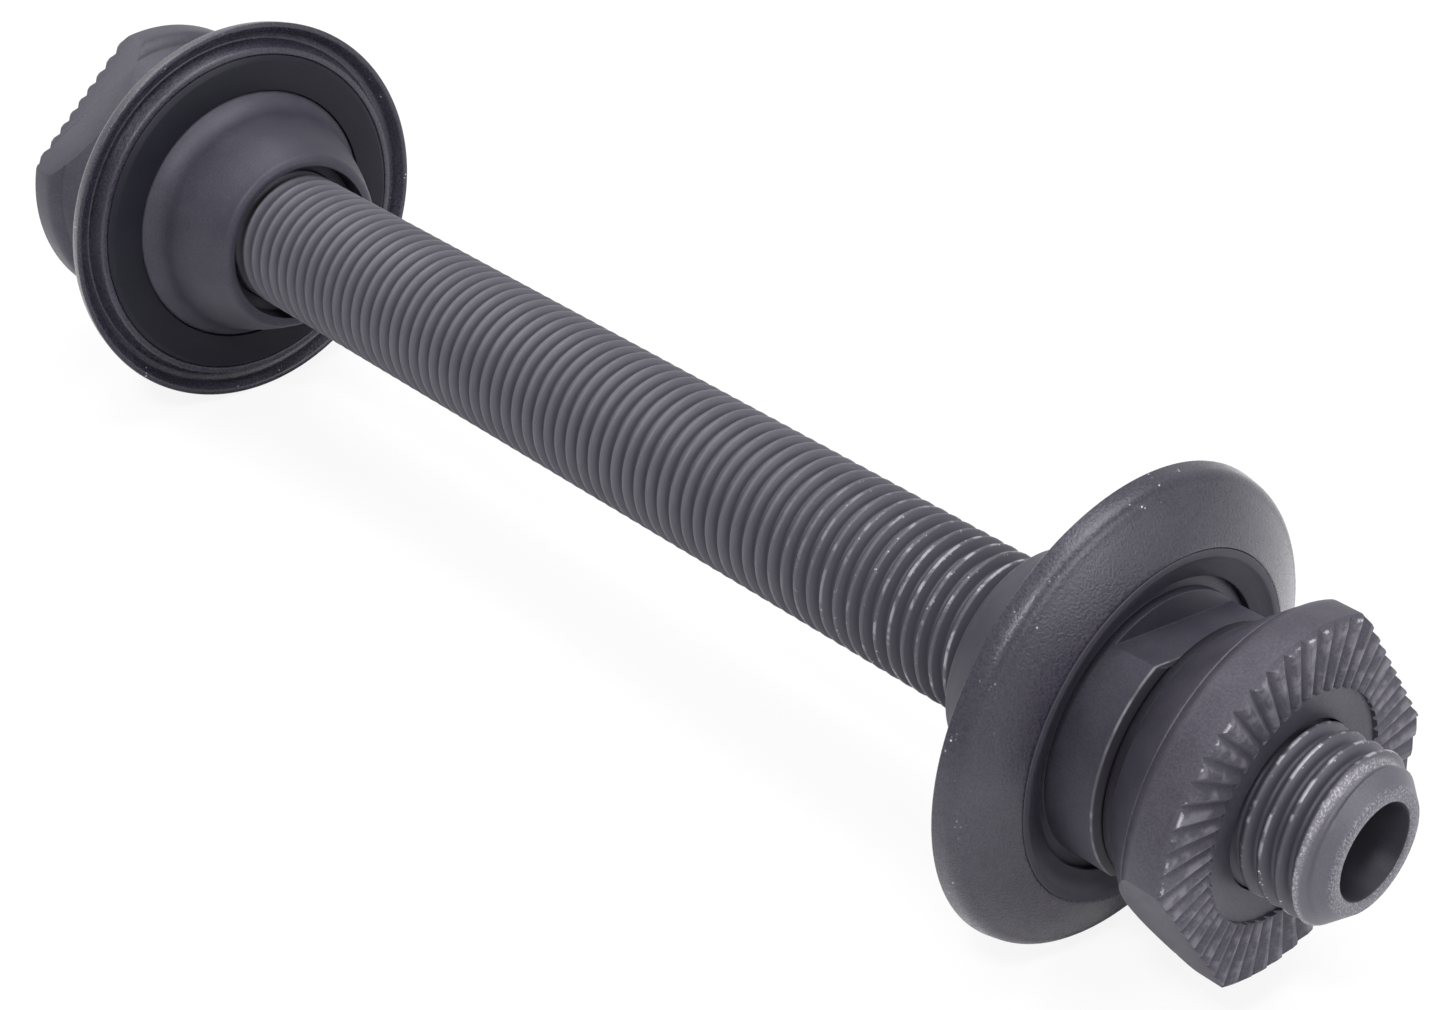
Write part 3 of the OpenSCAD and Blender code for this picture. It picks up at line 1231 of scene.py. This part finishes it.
@dataclass
class Studio:
    """The floor, the lamps, the world and the camera. Lengths in millimetres."""

    floor_at: float = -13.2
    floor_colour: Rgb = (0.93, 0.93, 0.94)
    camera_at: tuple[float, float, float] = (107.6, -89.2, 79.7)
    right: tuple[float, float, float] = (0.671, 0.7415, 0.0)
    upward: tuple[float, float, float] = (-0.3883, 0.3514, 0.8519)
    lens: float = 68.44
    shift: tuple[float, float] = (0.001, 0.0043)
    lamps: list[tuple[str, tuple[float, float, float], float, float]] = field(
        default_factory=lambda: [
            ("top_softbox", (60.0, 70.0, 400.0), 260.0, 1.6),
            ("strip", (130.0, -215.0, 305.0), 50.0, 0.8),
            ("near_panel", (440.0, 100.0, 190.0), 240.0, 1.1),
            ("far_panel", (-330.0, -40.0, 290.0), 240.0, 0.75),
        ]
    )
    world_strength: float = 0.25

    def floor(self) -> bpy.types.Object:
        """Lays the pale floor.

        Returns:
            The floor.
        """
        Bench.clear()
        bpy.ops.mesh.primitive_plane_add(size=6.0, location=(0.0, 0.0, self.floor_at * MM))
        floor = bpy.context.object
        floor.name = "pale_floor"
        Bench.place(floor, floor.matrix_world.copy())
        material = bpy.data.materials.new("pale_floor")
        material.use_nodes = True
        tree = material.node_tree
        shader = tree.nodes["Principled BSDF"]
        shader.inputs["Base Color"].default_value = (*self.floor_colour, 1.0)
        shader.inputs["Roughness"].default_value = 0.9
        shader.inputs["Specular IOR Level"].default_value = 0.1
        glow = tree.nodes.new("ShaderNodeEmission")
        glow.inputs["Color"].default_value = (1.0, 1.0, 1.0, 1.0)
        path = tree.nodes.new("ShaderNodeLightPath")
        share = Wire(tree, path.outputs["Is Camera Ray"]) * 0.88
        blend = tree.nodes.new("ShaderNodeMixShader")
        tree.links.new(share.socket, blend.inputs[0])
        tree.links.new(shader.outputs[0], blend.inputs[1])
        tree.links.new(glow.outputs[0], blend.inputs[2])
        tree.links.new(blend.outputs[0], tree.nodes["Material Output"].inputs["Surface"])
        floor.data.materials.append(material)
        floor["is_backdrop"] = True
        return floor

    @staticmethod
    def _seen(tree: bpy.types.NodeTree) -> bpy.types.NodeSocket:
        """A value that is 1 for rays that show a background.

        Args:
            tree: The node tree that the value is for.

        Returns:
            The value's socket.
        """
        path = tree.nodes.new("ShaderNodeLightPath")
        seen = Wire(tree, path.outputs["Is Camera Ray"])
        for ray in ("Is Glossy Ray", "Is Transmission Ray"):
            seen = seen.either(Wire(tree, path.outputs[ray]))
        return seen.socket

    def light(self) -> None:
        """Sets the lamps and the world."""
        for name, spot, size, strength in self.lamps:
            lamp = bpy.data.lights.new(name, "AREA")
            lamp.size = size * MM
            lamp.energy = strength
            holder = bpy.data.objects.new(name, lamp)
            bpy.context.scene.collection.objects.link(holder)
            holder.location = Vector(spot) * MM
            holder.rotation_euler = (-holder.location).to_track_quat("-Z", "Y").to_euler()
        world = bpy.data.worlds.new("studio")
        bpy.context.scene.world = world
        world.use_nodes = True
        tree = world.node_tree
        tree.nodes.clear()
        dim = tree.nodes.new("ShaderNodeBackground")
        dim.inputs["Strength"].default_value = self.world_strength
        dim.inputs["Color"].default_value = (1.0, 1.0, 1.0, 1.0)
        white = tree.nodes.new("ShaderNodeBackground")
        white.inputs["Strength"].default_value = 1.0
        white.inputs["Color"].default_value = (1.0, 1.0, 1.0, 1.0)
        blend = tree.nodes.new("ShaderNodeMixShader")
        out = tree.nodes.new("ShaderNodeOutputWorld")
        tree.links.new(self._seen(tree), blend.inputs[0])
        tree.links.new(dim.outputs[0], blend.inputs[1])
        tree.links.new(white.outputs[0], blend.inputs[2])
        tree.links.new(blend.outputs[0], out.inputs["Surface"])

    def camera(self) -> None:
        """Puts the camera where the photograph was taken from."""
        lens = bpy.data.cameras.new("camera")
        lens.lens = self.lens
        lens.sensor_width = 36.0
        lens.sensor_fit = "HORIZONTAL"
        lens.shift_x, lens.shift_y = self.shift
        lens.clip_start = 0.005
        lens.clip_end = 20.0
        holder = bpy.data.objects.new("camera", lens)
        bpy.context.scene.collection.objects.link(holder)
        right = Vector(self.right).normalized()
        upward = Vector(self.upward).normalized()
        back = right.cross(upward)
        turn = Matrix((right, upward, back)).transposed().to_4x4()
        holder.matrix_world = Matrix.Translation(Vector(self.camera_at) * MM) @ turn
        bpy.context.scene.camera = holder

    def build(self) -> None:
        """Sets up the whole studio."""
        self.floor()
        self.light()
        self.camera()
        bpy.context.scene.view_settings.view_transform = "Standard"


@dataclass
class HubAxle:
    """The whole axle set on its frame."""

    log: logging.Logger

    def dress(self, piece: bpy.types.Object, body: str, node: str) -> None:
        """Puts a piece on its body in place of its node.

        Args:
            piece: The finished piece.
            body: The body that it moves with.
            node: The node that it stands for.
        """
        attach(piece, body)
        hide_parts(node)
        self.log.info("%s: %d faces on %s", piece.name, len(piece.data.polygons), body)

    def build(self) -> None:
        """Builds every piece of both ends and the axle between them."""
        thread = ThreadSteel("axle_steel").material()
        nut_steel = NutSteel("nut_steel", dark=(0.036, 0.033, 0.046), light=(0.060, 0.056, 0.073)).material()
        cone_steel = ConeSteel("cone_steel").material()
        # Painted shade: the washer is painted near black, as the shade in the gap between cone and nut.
        washer_steel = BlackedSteel("washer_steel", dark=(0.008, 0.007, 0.011), light=(0.014, 0.013, 0.019), specular=0.15).material()
        cover_finish = GrainedCover("seal_cover").material()
        lip_finish = LipRubber("seal_lip").material()
        self.dress(ThreadedAxle().build(thread), "axle", "axle")
        for end, turn in ((End.NEAR, 34.4), (End.FAR, 131.8)):
            w = end.word
            self.dress(BearingCone().build(end, cone_steel), f"{w}_cone", f"{w}_cone")
            cover, ring = DustSeal().build(end, cover_finish, lip_finish)
            self.dress(cover, f"{w}_seal", f"{w}_seal_cover")
            self.dress(ring, f"{w}_seal", f"{w}_seal_ring")
            self.dress(Washer().build(end, washer_steel), f"{w}_washer", f"{w}_washer")
            self.dress(LockNut(turn).build(end, nut_steel), f"{w}_nut", f"{w}_lock_nut")


def main() -> None:
    """Builds the axle set and its studio."""
    logging.basicConfig(level=logging.INFO, format="%(message)s")
    log = logging.getLogger("hub_axle")
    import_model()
    before = [list(map(float, corner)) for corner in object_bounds()]
    HubAxle(log).build()
    Studio().build()
    after = [list(map(float, corner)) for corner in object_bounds()]
    log.info("sizes before %s and after %s", before, after)


if __name__ == "__main__":
    main()
